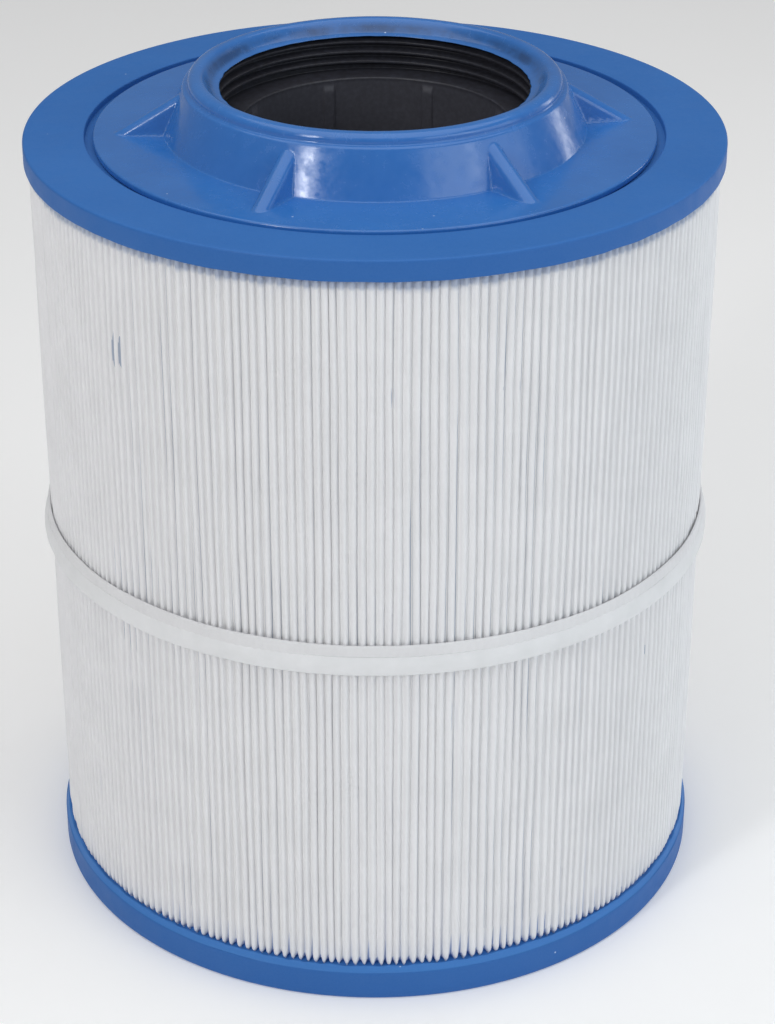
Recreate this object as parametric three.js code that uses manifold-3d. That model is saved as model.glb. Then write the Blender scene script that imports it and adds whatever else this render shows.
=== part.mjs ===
// Pleated filter cartridge with a threaded neck, for a pool or spa filter, in millimetres.
// +Z points up through the neck. The origin is the centre of the flat bottom face.
// A black ribbed core stands inside a ring of pleats. Both are potted in two cast end caps,
// and a flanged collar on the upper cap carries the threaded sleeve that screws onto the filter.
import * as THREE from "three";
import { mergeVertices } from "three/addons/utils/BufferGeometryUtils.js";
import Module from "manifold-3d";

const wasm = await Module();
wasm.setup();

// Clearance between pieces that are bonded or potted together.
const GAP = 0.3;

// End caps.
const CAP_R = 108;
const FACE_Z = 252;
const UPPER_SIDE_H = 6.5;
const LOWER_SIDE_H = 10;
const RIM_WALL = 1.1;
const RIM_RISE = 2.4;
const RIM_TIP = 0.2;
const CAP_EDGE = 0.8;
const UPPER_WEB = 1.4;
const LOWER_FLOOR = 5;
const UNDER_RECESS_R = 30;
const UNDER_RECESS_D = 1.2;

// Collar: a disc let into the upper cap, with a conical neck, a rolled lip and gussets.
const PLATE_MARGIN = 6.6;
const PLATE_T = 2;
const PLATE_EDGE = 0.7;
const GROOVE_W = 2.6;
const NECK_H = 14.5;
const NECK_TOP_WALL = 5.2;
const NECK_BASE_WALL = 11.7;
const NECK_FILLET = 1.2;
const LIP_H = 3;
const LIP_CREASE = 0.5;
const LIP_CREST_WALL = 5.3;
const LIP_ROUND_OUT = 0.7;
const LIP_ROUND_UP = 0.75;
const MOUTH_BEVEL_WALL = 3.3;
const MOUTH_BEVEL_H = 2.3;
const MOUTH_SKIN = 0.8;

const GUSSETS = 6;
const GUSSET_AZ = 5;
const GUSSET_REACH = 15;
const GUSSET_H = 12.7;
const GUSSET_TOP_W = 3.2;
const GUSSET_DRAFT = 0.11;
const GUSSET_ROOT = 1.2;

// Threaded sleeve. The thread is right handed.
const THREAD_MINOR_R = 48.2;
const THREAD_DEPTH = 2.6;
const THREAD_PITCH = 3.3;
const THREAD_START_AZ = -75;
const THREAD_ROOT_W = 2.7;
const THREAD_CREST_W = 0.7;
const THREAD_BURIED = 0.35;
const THREAD_RUN_OUT = 0.12;
const THREAD_END_FADE = 0.05;
const SLEEVE_WALL = 2.2;
const SHOULDER_Z = 1.5;
const SEAT_MARGIN = 0.4;
const SEAT_STEP = 0.4;
const SKIRT_L = 16;

// Core: stacked sections that meet in half laps, with upright ribs on the bore.
const CORE_R = 44.45;
const CORE_WALL = 3;
const CORE_SECTIONS = ["core_lower", "core_middle", "core_upper"];
const LAP_L = 5;
const RIBS = 8;
const RIB_AZ = 21;
const RIB_W = 4;
const RIB_DEPTH = 2.6;
const RIB_TOP_DROP = 0.6;
const WINDOW_ROWS = 2;
const WINDOW_W = 20;
const HOOP_H = 6.5;
const PLUG_FLANGE_T = 2.5;
const PLUG_FLOOR_T = 3;
const PLUG_RIM_H = 4;
const PLUG_RIM_WALL = 3;

// Pleated media, its bonded seam, and the band round its middle. The folded sheet is drawn as
// packs that follow one another round the core, so that each is a plain sector.
const MEDIA_PACKS = 8;
const MEDIA_CORE_GAP = 0.45;
const PLEAT_PITCH = 1.12;
const SHEET_T = 0.42;
const OUTER_FOLD_W = 1.1;
const SEAM_AZ = 90;
const SEAM_T = 0.5;
const BAND_LOW_Z = 119.7;
const BAND_H = 9.6;
const BAND_T = 0.7;
const BEAD_H = 4.6;
const BEAD_RISE = 0.8;
const BEAD_T = 0.9;

// Facets round a full circle.
const CAP_FACETS = 64;
const SLEEVE_FACETS = 48;
const CORE_FACETS = 32;

// Sizes that follow from the ones above.
const POCKET_R = CAP_R - RIM_WALL;
const RECESS_FLOOR_Z = FACE_Z - PLATE_T - GAP;
const POCKET_ROOF_Z = RECESS_FLOOR_Z - UPPER_WEB;
const COLLAR_LOW_Z = RECESS_FLOOR_Z + GAP;
const THREAD_MAJOR_R = THREAD_MINOR_R + THREAD_DEPTH;
const SLEEVE_R = THREAD_MAJOR_R + SLEEVE_WALL;
const NECK_BORE_R = SLEEVE_R + GAP;
const NECK_BASE_R = NECK_BORE_R + NECK_BASE_WALL;
const NECK_TOP_R = NECK_BORE_R + NECK_TOP_WALL;
const GUSSET_TIP_R = NECK_BASE_R + GUSSET_REACH;
const PLATE_R = GUSSET_TIP_R + PLATE_MARGIN;
const NECK_TOP_Z = FACE_Z + NECK_H;
const LIP_Z = NECK_TOP_Z + LIP_H;
const MOUTH_Z = NECK_TOP_Z - MOUTH_SKIN;
const SLEEVE_TOP_Z = MOUTH_Z - GAP;
const CORE_BORE_R = CORE_R - CORE_WALL;
const LAP_R = CORE_R - CORE_WALL / 2;
const RIB_R = CORE_BORE_R - RIB_DEPTH;
const SKIRT_LOW_Z = FACE_Z - SKIRT_L;
const PLUG_LOW_Z = LOWER_FLOOR + GAP;
const PLUG_SEAT_Z = PLUG_LOW_Z + PLUG_FLANGE_T;
const CORE_LOW_Z = PLUG_SEAT_Z + GAP;
const MEDIA_LOW_Z = LOWER_FLOOR + GAP;
const MEDIA_H = POCKET_ROOF_Z - GAP - MEDIA_LOW_Z;
const MEDIA_R = POCKET_R - GAP;
const MEDIA_BORE_R = CORE_R + MEDIA_CORE_GAP;
const SEAM_ANGLE = (SEAM_T + 2 * GAP) / MEDIA_BORE_R;
const PACK_GAP_ANGLE = GAP / MEDIA_BORE_R;
const BAND_R = MEDIA_R + GAP;

const radians = THREE.MathUtils.degToRad;

function material(color, roughness, metalness = 0) {
  return new THREE.MeshStandardMaterial({ color, roughness, metalness });
}

function solidOf(geometry) {
  const source = geometry.index ? geometry.toNonIndexed() : geometry;
  const bare = new THREE.BufferGeometry().setAttribute("position", source.getAttribute("position"));
  const merged = mergeVertices(bare);
  return new wasm.Manifold(
    new wasm.Mesh({
      numProp: 3,
      vertProperties: merged.attributes.position.array,
      triVerts: new Uint32Array(merged.index.array),
    }),
  );
}

function geometryOf(solid) {
  const { vertProperties, triVerts } = solid.getMesh();
  const geometry = new THREE.BufferGeometry();
  geometry.setAttribute("position", new THREE.BufferAttribute(vertProperties, 3));
  geometry.setIndex(new THREE.BufferAttribute(triVerts, 1));
  geometry.computeVertexNormals();
  return geometry;
}

// Turns a profile of [radius, height] points round Z. The outer side of the profile runs upwards.
function turned(profile, facets) {
  const points = profile.map(([r, z]) => new THREE.Vector2(r, z));
  const lathe = new THREE.LatheGeometry(points, facets);
  return lathe.rotateX(Math.PI / 2);
}

// A turned ring, whose profile closes on itself.
function ring(profile, facets) {
  return turned([...profile, profile[0]], facets);
}

// Rounds a profile's corner between two heights with three points of a quarter circle.
function quarterRound(r, z, radius) {
  return [0, 45, 90].map((degrees) => {
    const angle = radians(degrees);
    return [r - radius + radius * Math.cos(angle), z - radius + radius * Math.sin(angle)];
  });
}

// A box that reaches from one radius to another, centred on an azimuth in degrees.
function radialBox(innerR, outerR, width, low, high, azimuth) {
  const box = new THREE.BoxGeometry(outerR - innerR, width, high - low);
  box.translate((innerR + outerR) / 2, 0, (low + high) / 2);
  return box.rotateZ(radians(azimuth));
}

function lowerCap() {
  return turned(
    [
      [0, UNDER_RECESS_D],
      [UNDER_RECESS_R, UNDER_RECESS_D],
      [UNDER_RECESS_R + UNDER_RECESS_D, 0],
      [CAP_R - CAP_EDGE, 0],
      [CAP_R, CAP_EDGE],
      [CAP_R, LOWER_SIDE_H],
      [POCKET_R + RIM_TIP, LOWER_SIDE_H + RIM_RISE],
      [POCKET_R, LOWER_SIDE_H + RIM_RISE],
      [POCKET_R, LOWER_FLOOR],
      [0, LOWER_FLOOR],
    ],
    CAP_FACETS,
  );
}

function upperCap() {
  const recessR = PLATE_R + GROOVE_W;
  return ring(
    [
      [CORE_R + GAP, POCKET_ROOF_Z],
      [POCKET_R, POCKET_ROOF_Z],
      [POCKET_R, FACE_Z - UPPER_SIDE_H],
      [CAP_R, FACE_Z - UPPER_SIDE_H],
      ...quarterRound(CAP_R, FACE_Z, CAP_EDGE),
      [recessR, FACE_Z],
      [recessR, RECESS_FLOOR_Z],
      [CORE_R + GAP, RECESS_FLOOR_Z],
    ],
    CAP_FACETS,
  );
}

// One gusset: a bar with a rounded, drafted section, sheared down from the neck to its tip.
function gusset(azimuth) {
  const rootR = NECK_BORE_R + GUSSET_ROOT;
  const slope = GUSSET_H / (GUSSET_TIP_R - NECK_TOP_R);
  const topHalf = GUSSET_TOP_W / 2;
  const depth = GUSSET_H + slope * (NECK_TOP_R - rootR) + PLATE_T;
  const footHalf = topHalf + depth * GUSSET_DRAFT;
  const section = new THREE.Shape();
  section.moveTo(-footHalf, -depth);
  section.lineTo(footHalf, -depth);
  section.lineTo(topHalf, -topHalf);
  section.absarc(0, -topHalf, topHalf, 0, Math.PI, false);
  section.closePath();
  const bar = new THREE.ExtrudeGeometry(section, {
    depth: GUSSET_TIP_R - rootR,
    bevelEnabled: false,
    curveSegments: 4,
  });
  // The section's x, y and length become Y, Z and X, and the ridge falls along X.
  bar.applyMatrix4(new THREE.Matrix4().makeBasis(
    new THREE.Vector3(0, 1, 0),
    new THREE.Vector3(0, 0, 1),
    new THREE.Vector3(1, 0, -slope),
  ));
  bar.translate(rootR, 0, FACE_Z + slope * (GUSSET_TIP_R - rootR));
  // What lies below the middle of the disc, or inside the neck's bore, is cut away.
  const low = FACE_Z - PLATE_T / 2;
  const keep = radialBox(rootR, rootR + GUSSET_TIP_R, GUSSET_TIP_R, low, LIP_Z, azimuth);
  return solidOf(bar.rotateZ(radians(azimuth))).intersect(solidOf(keep));
}

function collar() {
  const neckSlope = (NECK_BASE_R - NECK_TOP_R) / NECK_H;
  const crestR = THREAD_MINOR_R + LIP_CREST_WALL;
  const lipR = NECK_TOP_R - LIP_CREASE;
  const body = ring(
    [
      [NECK_BORE_R, COLLAR_LOW_Z],
      [PLATE_R, COLLAR_LOW_Z],
      ...quarterRound(PLATE_R, FACE_Z, PLATE_EDGE),
      [NECK_BASE_R + NECK_FILLET, FACE_Z],
      [NECK_BASE_R - neckSlope * NECK_FILLET, FACE_Z + NECK_FILLET],
      [NECK_TOP_R, NECK_TOP_Z],
      [lipR, NECK_TOP_Z + LIP_CREASE],
      [crestR + (lipR - crestR) * LIP_ROUND_OUT, NECK_TOP_Z + LIP_H * LIP_ROUND_UP],
      [crestR, LIP_Z],
      [THREAD_MINOR_R + MOUTH_BEVEL_WALL, MOUTH_Z + MOUTH_BEVEL_H],
      [THREAD_MINOR_R, MOUTH_Z],
      [NECK_BORE_R, MOUTH_Z],
    ],
    CAP_FACETS,
  );
  let solid = solidOf(body);
  for (let i = 0; i < GUSSETS; i++) {
    solid = solid.add(gusset(GUSSET_AZ + (i * 360) / GUSSETS));
  }
  return geometryOf(solid);
}

// The thread's ridge: a straight bar wound up the root cylinder from the shoulder to the mouth,
// fading out at both ends. Its steps line up with the cylinder's facets.
function threadRidge() {
  const startZ = FACE_Z + SHOULDER_Z + THREAD_ROOT_W / 2;
  const rise = SLEEVE_TOP_Z - THREAD_ROOT_W / 2 - startZ;
  const steps = Math.floor((rise / THREAD_PITCH) * SLEEVE_FACETS);
  const turns = steps / SLEEVE_FACETS;
  const height = THREAD_DEPTH + THREAD_BURIED;
  const section = new THREE.Shape([
    new THREE.Vector2(0, -THREAD_ROOT_W / 2),
    new THREE.Vector2(height, -THREAD_CREST_W / 2),
    new THREE.Vector2(height, THREAD_CREST_W / 2),
    new THREE.Vector2(0, THREAD_ROOT_W / 2),
  ]);
  const bar = new THREE.ExtrudeGeometry(section, { depth: turns, steps, bevelEnabled: false });
  const place = bar.getAttribute("position");
  for (let i = 0; i < place.count; i++) {
    const turn = place.getZ(i);
    const fromEnd = Math.min(turn, turns - turn);
    const fade = Math.min(1, fromEnd / THREAD_RUN_OUT + THREAD_END_FADE);
    const radius = THREAD_MAJOR_R + THREAD_BURIED - place.getX(i) * fade;
    const angle = radians(THREAD_START_AZ) + turn * 2 * Math.PI;
    const z = startZ + place.getY(i) + turn * THREAD_PITCH;
    place.setXYZ(i, radius * Math.cos(angle), radius * Math.sin(angle), z);
  }
  return solidOf(bar);
}

function addRibs(solid, low, high) {
  let ribbed = solid;
  for (let i = 0; i < RIBS; i++) {
    const azimuth = RIB_AZ + (i * 360) / RIBS;
    ribbed = ribbed.add(solidOf(radialBox(RIB_R, LAP_R - GAP, RIB_W, low, high, azimuth)));
  }
  return ribbed;
}

// The sleeve's inner shoulder is a flat seat inside the thread, with a shallow groove round it.
function sleeve() {
  const shoulderZ = FACE_Z + SHOULDER_Z;
  const seatR = THREAD_MINOR_R - SEAT_MARGIN;
  const tongueR = LAP_R - GAP / 2;
  const body = ring(
    [
      [CORE_BORE_R, SKIRT_LOW_Z - LAP_L],
      [tongueR, SKIRT_LOW_Z - LAP_L],
      [tongueR, SKIRT_LOW_Z],
      [CORE_R, SKIRT_LOW_Z],
      [CORE_R, COLLAR_LOW_Z],
      [SLEEVE_R, COLLAR_LOW_Z],
      [SLEEVE_R, SLEEVE_TOP_Z],
      [THREAD_MAJOR_R, SLEEVE_TOP_Z],
      [THREAD_MAJOR_R, shoulderZ - SEAT_STEP],
      [seatR, shoulderZ - SEAT_STEP],
      [seatR, shoulderZ],
      [CORE_BORE_R, shoulderZ],
    ],
    SLEEVE_FACETS,
  );
  const threaded = solidOf(body).add(threadRidge());
  return geometryOf(addRibs(threaded, SKIRT_LOW_Z - LAP_L, shoulderZ - RIB_TOP_DROP));
}

// A core section between two joints. Its upper end takes the tongue of the piece above it,
// and every section but the lowest has a tongue of its own.
function coreSection(low, joint, hasTongue) {
  const wallTop = joint - GAP - LAP_L;
  const tongueR = LAP_R - GAP / 2;
  const tongueLow = low - LAP_L;
  const foot = hasTongue
    ? [[CORE_BORE_R, tongueLow], [tongueR, tongueLow], [tongueR, low], [CORE_R, low]]
    : [[CORE_BORE_R, low], [CORE_R, low]];
  const tube = ring(
    [
      ...foot,
      [CORE_R, joint - GAP],
      [LAP_R + GAP / 2, joint - GAP],
      [LAP_R + GAP / 2, wallTop],
      [CORE_BORE_R, wallTop],
    ],
    CORE_FACETS,
  );
  const windowH = (wallTop - low - (WINDOW_ROWS + 1) * HOOP_H) / WINDOW_ROWS;
  let solid = solidOf(tube);
  for (let i = 0; i < RIBS; i++) {
    const azimuth = RIB_AZ + ((i + 0.5) * 360) / RIBS;
    for (let row = 0; row < WINDOW_ROWS; row++) {
      const sill = low + HOOP_H + row * (windowH + HOOP_H);
      const window = radialBox(RIB_R, CORE_R + CORE_WALL, WINDOW_W, sill, sill + windowH, azimuth);
      solid = solid.subtract(solidOf(window));
    }
  }
  return geometryOf(addRibs(solid, hasTongue ? tongueLow : low, wallTop));
}

function corePlug() {
  const rimR = RIB_R - GAP;
  const floorZ = PLUG_LOW_Z + PLUG_FLOOR_T;
  return turned(
    [
      [0, PLUG_LOW_Z],
      [CORE_R, PLUG_LOW_Z],
      [CORE_R, PLUG_SEAT_Z],
      [rimR, PLUG_SEAT_Z],
      [rimR, PLUG_SEAT_Z + PLUG_RIM_H],
      [rimR - PLUG_RIM_WALL, PLUG_SEAT_Z + PLUG_RIM_H],
      [rimR - PLUG_RIM_WALL, floorZ],
      [0, floorZ],
    ],
    CORE_FACETS,
  );
}

// One pack of the pleated sheet: a ribbon folded in and out from one azimuth to another.
function pleatPack(start, end) {
  const pleats = Math.floor((end - start) / (PLEAT_PITCH / MEDIA_BORE_R));
  const pitch = (end - start) / pleats;
  const outerHalf = OUTER_FOLD_W / 2 / MEDIA_R;
  const innerHalf = SHEET_T / MEDIA_BORE_R;
  const at = (r, angle) => new THREE.Vector2(r * Math.cos(angle), r * Math.sin(angle));
  const outside = [at(MEDIA_BORE_R, start)];
  const inside = [at(MEDIA_BORE_R, start + innerHalf)];
  for (let i = 0; i < pleats; i++) {
    const tip = start + (i + 0.5) * pitch;
    const valley = start + (i + 1) * pitch;
    outside.push(at(MEDIA_R, tip - outerHalf), at(MEDIA_R, tip + outerHalf));
    inside.push(at(MEDIA_R - SHEET_T, tip));
    if (i < pleats - 1) {
      outside.push(at(MEDIA_BORE_R + SHEET_T, valley));
      inside.push(at(MEDIA_BORE_R, valley - innerHalf), at(MEDIA_BORE_R, valley + innerHalf));
    }
  }
  outside.push(at(MEDIA_BORE_R, end));
  inside.push(at(MEDIA_BORE_R, end - innerHalf));
  const ribbon = new THREE.Shape([...outside, ...inside.reverse()]);
  const sheet = new THREE.ExtrudeGeometry(ribbon, { depth: MEDIA_H, bevelEnabled: false });
  return sheet.translate(0, 0, MEDIA_LOW_Z);
}

function mediaSeam() {
  return radialBox(MEDIA_BORE_R, MEDIA_R, SEAM_T, MEDIA_LOW_Z, MEDIA_LOW_Z + MEDIA_H, SEAM_AZ);
}

function centreBand() {
  const top = BAND_LOW_Z + BAND_H;
  return ring(
    [
      [BAND_R, BAND_LOW_Z],
      [BAND_R + BAND_T, BAND_LOW_Z],
      [BAND_R + BAND_T, top],
      [BAND_R, top],
    ],
    CAP_FACETS,
  );
}

// The round bead of hot-melt adhesive along the lower half of the band.
function bandBead() {
  const innerR = BAND_R + BAND_T + GAP;
  const low = BAND_LOW_Z + BEAD_RISE;
  return ring(
    [
      [innerR, low],
      [innerR + BEAD_T, low + BEAD_H / 3],
      [innerR + BEAD_T, low + (BEAD_H * 2) / 3],
      [innerR, low + BEAD_H],
    ],
    CAP_FACETS,
  );
}

const cartridge = new THREE.Group();

function place(name, geometry, look) {
  const mesh = new THREE.Mesh(geometry, look);
  mesh.name = name;
  cartridge.add(mesh);
}

place("bottom_end_cap", lowerCap(), material(0x3a65a6, 0.5));
place("top_end_cap", upperCap(), material(0x3e6db5, 0.5));
place("collar_plate", collar(), material(0x4076c0, 0.35));
place("threaded_sleeve", sleeve(), material(0x2a2a2e, 0.3));
place("core_end_plug", corePlug(), material(0x2b2b2e, 0.45));

const sectionPitch = (SKIRT_LOW_Z - CORE_LOW_Z) / CORE_SECTIONS.length;
CORE_SECTIONS.forEach((name, i) => {
  const low = CORE_LOW_Z + i * sectionPitch;
  place(name, coreSection(low, low + sectionPitch, i > 0), material(0x2b2b2e, 0.45));
});

// The packs share what the seam leaves of the circle, with a gap between one and the next.
const packGaps = (MEDIA_PACKS - 1) * PACK_GAP_ANGLE;
const packAngle = (2 * Math.PI - SEAM_ANGLE - packGaps) / MEDIA_PACKS;
for (let i = 0; i < MEDIA_PACKS; i++) {
  const start = radians(SEAM_AZ) + SEAM_ANGLE / 2 + i * (packAngle + PACK_GAP_ANGLE);
  place(`pleat_pack_${i + 1}`, pleatPack(start, start + packAngle), material(0xe4e5e8, 0.9));
}
place("media_seam", mediaSeam(), material(0xd8d6cc, 0.5));
place("center_band", centreBand(), material(0xe2e3e5, 0.85));
place("band_bead", bandBead(), material(0xe6e6e6, 0.45));

export default cartridge;
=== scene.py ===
"""Looks for the pleated filter cartridge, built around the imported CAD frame. Metres, +Z up."""

import math

import bmesh
import bpy
import numpy as np
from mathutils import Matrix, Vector


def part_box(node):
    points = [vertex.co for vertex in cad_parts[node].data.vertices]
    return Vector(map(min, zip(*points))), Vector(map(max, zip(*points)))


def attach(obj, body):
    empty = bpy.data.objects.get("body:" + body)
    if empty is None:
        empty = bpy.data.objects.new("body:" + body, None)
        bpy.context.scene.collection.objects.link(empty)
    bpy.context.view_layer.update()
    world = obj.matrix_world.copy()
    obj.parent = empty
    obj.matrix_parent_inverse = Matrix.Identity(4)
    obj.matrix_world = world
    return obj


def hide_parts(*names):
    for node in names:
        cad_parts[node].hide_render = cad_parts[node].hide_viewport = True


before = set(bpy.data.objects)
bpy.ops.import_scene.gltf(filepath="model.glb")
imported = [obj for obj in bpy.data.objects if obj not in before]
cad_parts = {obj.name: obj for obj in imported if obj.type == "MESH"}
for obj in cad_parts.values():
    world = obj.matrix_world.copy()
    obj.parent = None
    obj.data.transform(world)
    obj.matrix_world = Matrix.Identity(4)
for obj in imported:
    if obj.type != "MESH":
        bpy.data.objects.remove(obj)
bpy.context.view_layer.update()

MM = 0.001
TAU = 2 * math.pi
RIM_DROP = 0.6 * MM  # the cast rim lies this far below the CAD cap's top

# ---------------------------------------------------------------- sizes read from the frame


def top_of(node):
    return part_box(node)[1][2]


def foot_of(node):
    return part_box(node)[0][2]


def radius_of(node):
    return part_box(node)[1][0]


CAP_R = radius_of("top_end_cap")
FACE_Z = top_of("top_end_cap")
CAP_UNDER_Z = foot_of("top_end_cap")
LOWER_RIM_Z = top_of("bottom_end_cap") - RIM_DROP
PLATE_R = radius_of("collar_plate")
PLATE_UNDER_Z = foot_of("collar_plate")
SLEEVE_R = radius_of("threaded_sleeve")
SLEEVE_TOP_Z = top_of("threaded_sleeve")
SLEEVE_FOOT_Z = foot_of("threaded_sleeve")
PACKS = [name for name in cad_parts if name.startswith("pleat_pack_")]
MEDIA_R = max(abs(value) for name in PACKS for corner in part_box(name) for value in corner[:2])
MEDIA_LOW_Z = foot_of(PACKS[0])
MEDIA_TOP_Z = top_of(PACKS[0])
CORE_R = radius_of("core_upper")
BAND_LOW_Z = foot_of("center_band")
BAND_TOP_Z = top_of("center_band")
BEAD_R = radius_of("band_bead")

# ---------------------------------------------------------------- sizes of the finer shapes

GAP = 0.3 * MM  # left between pieces that are bonded together
PLEATS = 250
SHEET_T = 0.28 * MM
MEDIA_BORE_R = CORE_R + 0.45 * MM
BEVEL_H = 1.9 * MM
SEAM_AZ = math.radians(90)

NECK_BASE_R = 65 * MM
NECK_TOP_R = 58.5 * MM
NECK_H = 14.5 * MM
GUSSETS = 6
GUSSET_AZ = math.radians(5)
GUSSET_TIP_R = 80 * MM
GUSSET_H = 12.7 * MM
MOUTH_R = 48.2 * MM
THREAD_MAJOR_R = 50.8 * MM
THREAD_PITCH = 3.3 * MM
THREAD_AZ = math.radians(-75)
SHOULDER_Z = FACE_Z + 1.5 * MM
CORE_BORE_R = CORE_R - 3 * MM
RIBS = 8
RIB_AZ = math.radians(21)

# ---------------------------------------------------------------- small helpers


def smooth_step(low, high, x):
    t = np.clip((x - low) / (high - low), 0.0, 1.0)
    return t * t * (3 - 2 * t)


def smooth_max(a, b, blend):
    h = np.clip(0.5 + 0.5 * (a - b) / blend, 0.0, 1.0)
    return b + (a - b) * h + blend * h * (1 - h) * 0.5


def ring_noise(azimuths, seed, waves, lowest=1):
    """Smooth periodic noise round the circle, about -1 to 1."""
    rng = np.random.default_rng(seed)
    total = np.zeros_like(azimuths)
    for k in range(lowest, lowest + waves):
        total += rng.normal() * np.cos(k * azimuths + rng.uniform(0, TAU))
    return total / math.sqrt(waves)


def arc(centre_r, centre_z, radius, start, end, points):
    """Points of an arc in the (radius, height) plane, angles in degrees."""
    angles = np.radians(np.linspace(start, end, points))
    return [(centre_r + radius * math.cos(a), centre_z + radius * math.sin(a)) for a in angles]


def new_mesh(name, vertices, quads):
    mesh = bpy.data.meshes.new(name)
    mesh.vertices.add(len(vertices))
    mesh.vertices.foreach_set("co", np.asarray(vertices, dtype=np.float32).ravel())
    mesh.loops.add(quads.size)
    mesh.loops.foreach_set("vertex_index", quads.astype(np.int32).ravel())
    mesh.polygons.add(len(quads))
    mesh.polygons.foreach_set("loop_start", np.arange(0, quads.size, 4, dtype=np.int32))
    mesh.polygons.foreach_set("use_smooth", np.ones(len(quads), dtype=bool))
    mesh.update(calc_edges=True)
    mesh.validate()
    piece = bpy.data.objects.new(name, mesh)
    bpy.context.scene.collection.objects.link(piece)
    return piece


def loop_surface(name, points):
    """A closed surface from an array (rows, columns, 3): both directions close on themselves."""
    rows, columns = points.shape[:2]
    index = np.arange(rows * columns).reshape(rows, columns)
    below = np.roll(index, -1, axis=0)
    quads = np.stack([index, np.roll(index, -1, 1), np.roll(below, -1, 1), below], axis=-1)
    return new_mesh(name, points.reshape(-1, 3), quads.reshape(-1, 4))


def revolve(name, profile, columns, shape=None):
    """Turns a closed profile of (radius, height), outer side upwards, with an optional change
    of radius and height by azimuth."""
    azimuths = np.arange(columns) * TAU / columns
    rows = []
    for i, (r, z) in enumerate(profile):
        radius = np.full(columns, r)
        height = np.full(columns, z)
        if shape:
            radius, height = shape(i, radius, height, azimuths)
        rows.append(np.stack([radius * np.cos(azimuths), radius * np.sin(azimuths), height], -1))
    return loop_surface(name, np.array(rows))


def dress(piece, material, slot, *nodes):
    """Gives a piece its material and body, and hides the CAD nodes it stands for. Its slot argument is
    not used.
    """
    piece.data.materials.clear()
    piece.data.materials.append(material)
    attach(piece, "root")
    if nodes:
        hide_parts(*nodes)
    return piece


# ---------------------------------------------------------------- pleated media


def pleat_layout():
    """Azimuth and half width of each pleat's outer fold, unevenly spaced."""
    rng = np.random.default_rng(11)
    spacing = 1 + rng.uniform(-0.16, 0.16, PLEATS)
    azimuths = SEAM_AZ + (np.cumsum(spacing) - spacing / 2) * TAU / spacing.sum()
    half_widths = rng.uniform(0.64, 0.92, PLEATS) * MM
    return azimuths, half_widths


def valleys_between(azimuths):
    """Azimuth of the valley after each pleat."""
    following = np.roll(azimuths, -1)
    following[-1] += TAU
    return (azimuths + following) / 2


def fold_path(azimuths, half_widths):
    """The folded sheet's outer face as one closed path. Each point has an azimuth, a radius, its
    pleat, its valley, and its share of the pleat's movement: 1 at the fold, 0 in the valley."""
    valleys = valleys_between(azimuths)
    before = np.roll(valleys, 1)
    before[0] -= TAU
    fold_angles = np.radians([-84, -56, -28, 0, 28, 56, 84])
    crease_half = 0.01 * MM
    crease_r = MEDIA_R - 1.3 * MM
    crease_turn = crease_half / crease_r
    root_half = 0.24 * MM
    root_r = MEDIA_BORE_R + root_half
    root_turn = root_half / root_r
    path = []
    for k in range(PLEATS):
        half = half_widths[k]
        shoulder_r = MEDIA_R - half
        left, right = before[k], valleys[k]
        last = (k - 1) % PLEATS
        left_edge = azimuths[k] - half / MEDIA_R
        right_edge = azimuths[k] + half / MEDIA_R
        left_slope = left_edge * 0.5 + (left + crease_turn) * 0.5
        right_slope = right_edge * 0.8 + (right - crease_turn) * 0.2
        path.append((left + root_turn, root_r, k, last, 0.0))
        path.append((left + crease_turn, crease_r, k, last, 0.0))
        path.append((left_slope, shoulder_r - 0.4 * MM, k, last, 0.5))
        for angle in fold_angles:
            side = math.sin(angle) * half / MEDIA_R
            path.append((azimuths[k] + side, shoulder_r + half * math.cos(angle), k, k, 1.0))
        path.append((right_slope, shoulder_r - 0.45 * MM, k, k, 0.7))
        path.append((right - crease_turn, crease_r, k, k, 0.0))
        path.append((right - root_turn, root_r, k, k, 0.0))
        path.append((right, MEDIA_BORE_R, k, k, 0.0))
    return np.array(path)


def wander(z, seed, lengths, together):
    """Smooth random offsets of every pleat along its height, about -1 to 1, where each pleat
    partly follows its neighbours. Returns an array (pleats, heights)."""
    rng = np.random.default_rng(seed)
    shared = np.ones(together) / math.sqrt(together)
    total = np.zeros((PLEATS, len(z)))
    for length in lengths:
        cosine = np.convolve(rng.normal(0, 1, PLEATS), shared, "same")
        sine = np.convolve(rng.normal(0, 1, PLEATS), shared, "same")
        turn = TAU * z / length
        total += cosine[:, None] * np.cos(turn) + sine[:, None] * np.sin(turn)
    return total / (2 * math.sqrt(len(lengths)))


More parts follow.
